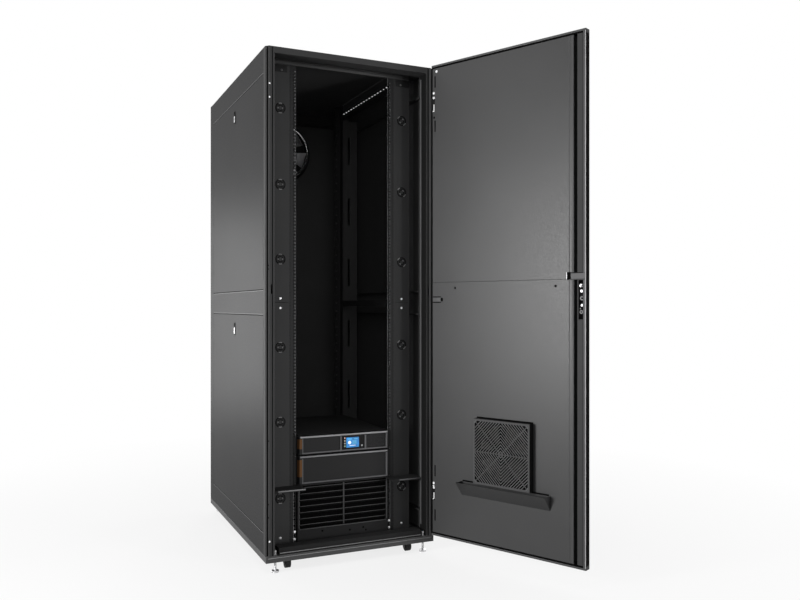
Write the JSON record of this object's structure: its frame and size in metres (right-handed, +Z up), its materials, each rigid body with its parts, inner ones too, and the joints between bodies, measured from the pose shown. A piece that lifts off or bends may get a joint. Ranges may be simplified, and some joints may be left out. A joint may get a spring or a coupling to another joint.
{
  "type": "self-cooled rack cabinet",
  "caption": "Black sealed server rack cabinet with open front door, door fan, rear exhaust fan and an in-rack cooling unit under a battery module and a power unit.",
  "frame": {"origin": "on the floor under the middle of the cabinet's plan", "axes": "+X to the right seen from the front, +Y to the rear, +Z up"},
  "size_m": [1.1603, 1.9332, 2.265],
  "materials": {
    "black_powder_coat": "fine textured powder coat",
    "rail_paint": "smooth powder coat",
    "zinc": "zinc plated",
    "wheel_tread": "hard rubber",
    "fins": "plain fins",
    "black_plastic": "moulded, matte",
    "handle_metal": "satin black casting",
    "screen": "lit screen",
    "key_plastic": "pale key cap"
  },
  "bodies": {
    "cabinet": {"base_plate": "black_powder_coat", "base_skirts": "black_powder_coat", "front_posts": "black_powder_coat", "rear_posts": "black_powder_coat", "headers": "black_powder_coat", "sills": "black_powder_coat", "side_bands": "black_powder_coat", "roof_panel": "black_powder_coat", "rack_rails": "rail_paint", "filler_panels": "black_powder_coat", "baffle_shelves": "black_powder_coat", "depth_braces": "rail_paint", "cable_panels": "black_powder_coat", "hinge_pins": "zinc", "cooling_chassis": "black_powder_coat", "cooling_grille": "black_powder_coat", "cooling_coils": "fins", "compressor": "black_powder_coat", "blower_housing": "black_powder_coat", "battery_chassis": "black_powder_coat", "battery_bezel": "black_plastic", "power_chassis": "black_powder_coat", "power_bezel": "black_plastic", "power_display": "screen", "caster_forks_rear": "zinc"},
    "blower": {"blower_wheel": "black_plastic"},
    "power_button": {"power_key": "key_plastic"},
    "front_door": {"front_door_shell": "black_powder_coat", "front_door_inner_plates": "black_powder_coat", "front_latch_channel": "black_powder_coat", "front_door_hinges": "zinc", "door_fan_box": "black_plastic", "door_fan_guard": "black_plastic", "door_scoop": "black_powder_coat", "front_lock": "handle_metal"},
    "door_fan": {"door_fan_rotor": "black_plastic"},
    "front_spindle": {"front_handle_spindle": "handle_metal"},
    "front_lever": {"front_handle_lever": "handle_metal"},
    "rear_door": {"rear_door_shell": "black_powder_coat", "rear_door_plate": "black_powder_coat", "rear_door_hinges": "zinc", "exhaust_ring": "black_plastic", "rear_lock": "handle_metal"},
    "exhaust_fan": {"exhaust_rotor": "black_plastic"},
    "rear_spindle": {"rear_handle_spindle": "handle_metal"},
    "rear_lever": {"rear_handle_lever": "handle_metal"},
    "caster_fork_front_left": {"caster_fork_front_left": "zinc"},
    "caster_wheel_front_left": {"caster_wheel_front_left": "wheel_tread"},
    "caster_fork_front_right": {"caster_fork_front_right": "zinc"},
    "caster_wheel_front_right": {"caster_wheel_front_right": "wheel_tread"},
    "caster_wheel_rear_left": {"caster_wheel_rear_left": "wheel_tread"},
    "caster_wheel_rear_right": {"caster_wheel_rear_right": "wheel_tread"},
    "levelling_foot_front_left": {"levelling_foot_front_left": "zinc"},
    "levelling_foot_front_right": {"levelling_foot_front_right": "zinc"},
    "levelling_foot_rear_left": {"levelling_foot_rear_left": "zinc"},
    "levelling_foot_rear_right": {"levelling_foot_rear_right": "zinc"},
    "side_panel_left_lower": {"side_panel_left_lower": "black_powder_coat"},
    "side_panel_left_upper": {"side_panel_left_upper": "black_powder_coat"},
    "side_panel_right_lower": {"side_panel_right_lower": "black_powder_coat"},
    "side_panel_right_upper": {"side_panel_right_upper": "black_powder_coat"}
  },
  "joints": [
    {"name": "front_door_swing", "type": "hinge", "parent": "cabinet", "child": "front_door", "pos_m": [0.392, -0.604, 0], "axis": [0, 0, 1], "range_deg": [-115, 15]},
    {"name": "front_handle_turn", "type": "hinge", "parent": "front_door", "child": "front_spindle", "pos_m": [0.74152, -1.2873, 1.205], "axis": [0.9063, 0.4226, 0], "range_deg": [0, 90]},
    {"name": "front_handle_lift", "type": "hinge", "parent": "front_spindle", "child": "front_lever", "pos_m": [0.75072, -1.28302, 1.2085], "axis": [0.4226, -0.9063, 0], "range_deg": [0, 35]},
    {"name": "door_fan_spin", "type": "hinge", "parent": "front_door", "child": "door_fan", "pos_m": [0.5312, -0.97823, 0.503], "axis": [0.9063, 0.4226, 0], "continuous": true},
    {"name": "rear_door_swing", "type": "hinge", "parent": "cabinet", "child": "rear_door", "pos_m": [0.392, 0.575, 0], "axis": [0, 0, -1], "range_deg": [0, 120]},
    {"name": "rear_handle_turn", "type": "hinge", "parent": "rear_door", "child": "rear_spindle", "pos_m": [-0.375, 0.6, 1.205], "axis": [0, -1, 0], "range_deg": [0, 90]},
    {"name": "rear_handle_lift", "type": "hinge", "parent": "rear_spindle", "child": "rear_lever", "pos_m": [-0.375, 0.61015, 1.2085], "axis": [1, 0, 0], "range_deg": [0, 35]},
    {"name": "exhaust_fan_spin", "type": "hinge", "parent": "rear_door", "child": "exhaust_fan", "pos_m": [0, 0.6, 2.035], "axis": [0, 1, 0], "continuous": true},
    {"name": "blower_spin", "type": "hinge", "parent": "cabinet", "child": "blower", "pos_m": [0, -0.165, 0.172], "axis": [1, 0, 0], "continuous": true},
    {"name": "power_key_press", "type": "slide", "parent": "cabinet", "child": "power_button", "axis": [0, 1, 0], "range_m": [0, 0.001], "stiffness_N_per_m": 400},
    {"name": "caster_swivel_front_left", "type": "hinge", "parent": "cabinet", "child": "caster_fork_front_left", "pos_m": [-0.29, -0.525, 0], "axis": [0, 0, 1], "continuous": true},
    {"name": "caster_roll_front_left", "type": "hinge", "parent": "caster_fork_front_left", "child": "caster_wheel_front_left", "pos_m": [-0.29, -0.543, 0.025], "axis": [1, 0, 0], "continuous": true},
    {"name": "caster_swivel_front_right", "type": "hinge", "parent": "cabinet", "child": "caster_fork_front_right", "pos_m": [0.29, -0.525, 0], "axis": [0, 0, 1], "continuous": true},
    {"name": "caster_roll_front_right", "type": "hinge", "parent": "caster_fork_front_right", "child": "caster_wheel_front_right", "pos_m": [0.29, -0.543, 0.025], "axis": [1, 0, 0], "continuous": true},
    {"name": "caster_roll_rear_left", "type": "hinge", "parent": "cabinet", "child": "caster_wheel_rear_left", "pos_m": [-0.29, 0.475, 0.025], "axis": [1, 0, 0], "continuous": true},
    {"name": "caster_roll_rear_right", "type": "hinge", "parent": "cabinet", "child": "caster_wheel_rear_right", "pos_m": [0.29, 0.475, 0.025], "axis": [1, 0, 0], "continuous": true},
    {"name": "foot_screw_front_left", "type": "slide", "parent": "cabinet", "child": "levelling_foot_front_left", "axis": [0, 0, 1], "range_m": [0, 0.02]},
    {"name": "foot_screw_front_right", "type": "slide", "parent": "cabinet", "child": "levelling_foot_front_right", "axis": [0, 0, 1], "range_m": [0, 0.02]},
    {"name": "foot_screw_rear_left", "type": "slide", "parent": "cabinet", "child": "levelling_foot_rear_left", "axis": [0, 0, 1], "range_m": [0, 0.02]},
    {"name": "foot_screw_rear_right", "type": "slide", "parent": "cabinet", "child": "levelling_foot_rear_right", "axis": [0, 0, 1], "range_m": [0, 0.02]},
    {"name": "panel_pull_left_lower", "type": "slide", "parent": "cabinet", "child": "side_panel_left_lower", "axis": [-1, 0, 0], "range_m": [0, 0.06]},
    {"name": "panel_pull_left_upper", "type": "slide", "parent": "cabinet", "child": "side_panel_left_upper", "axis": [-1, 0, 0], "range_m": [0, 0.06]},
    {"name": "panel_pull_right_lower", "type": "slide", "parent": "cabinet", "child": "side_panel_right_lower", "axis": [1, 0, 0], "range_m": [0, 0.06]},
    {"name": "panel_pull_right_upper", "type": "slide", "parent": "cabinet", "child": "side_panel_right_upper", "axis": [1, 0, 0], "range_m": [0, 0.06]}
  ]
}
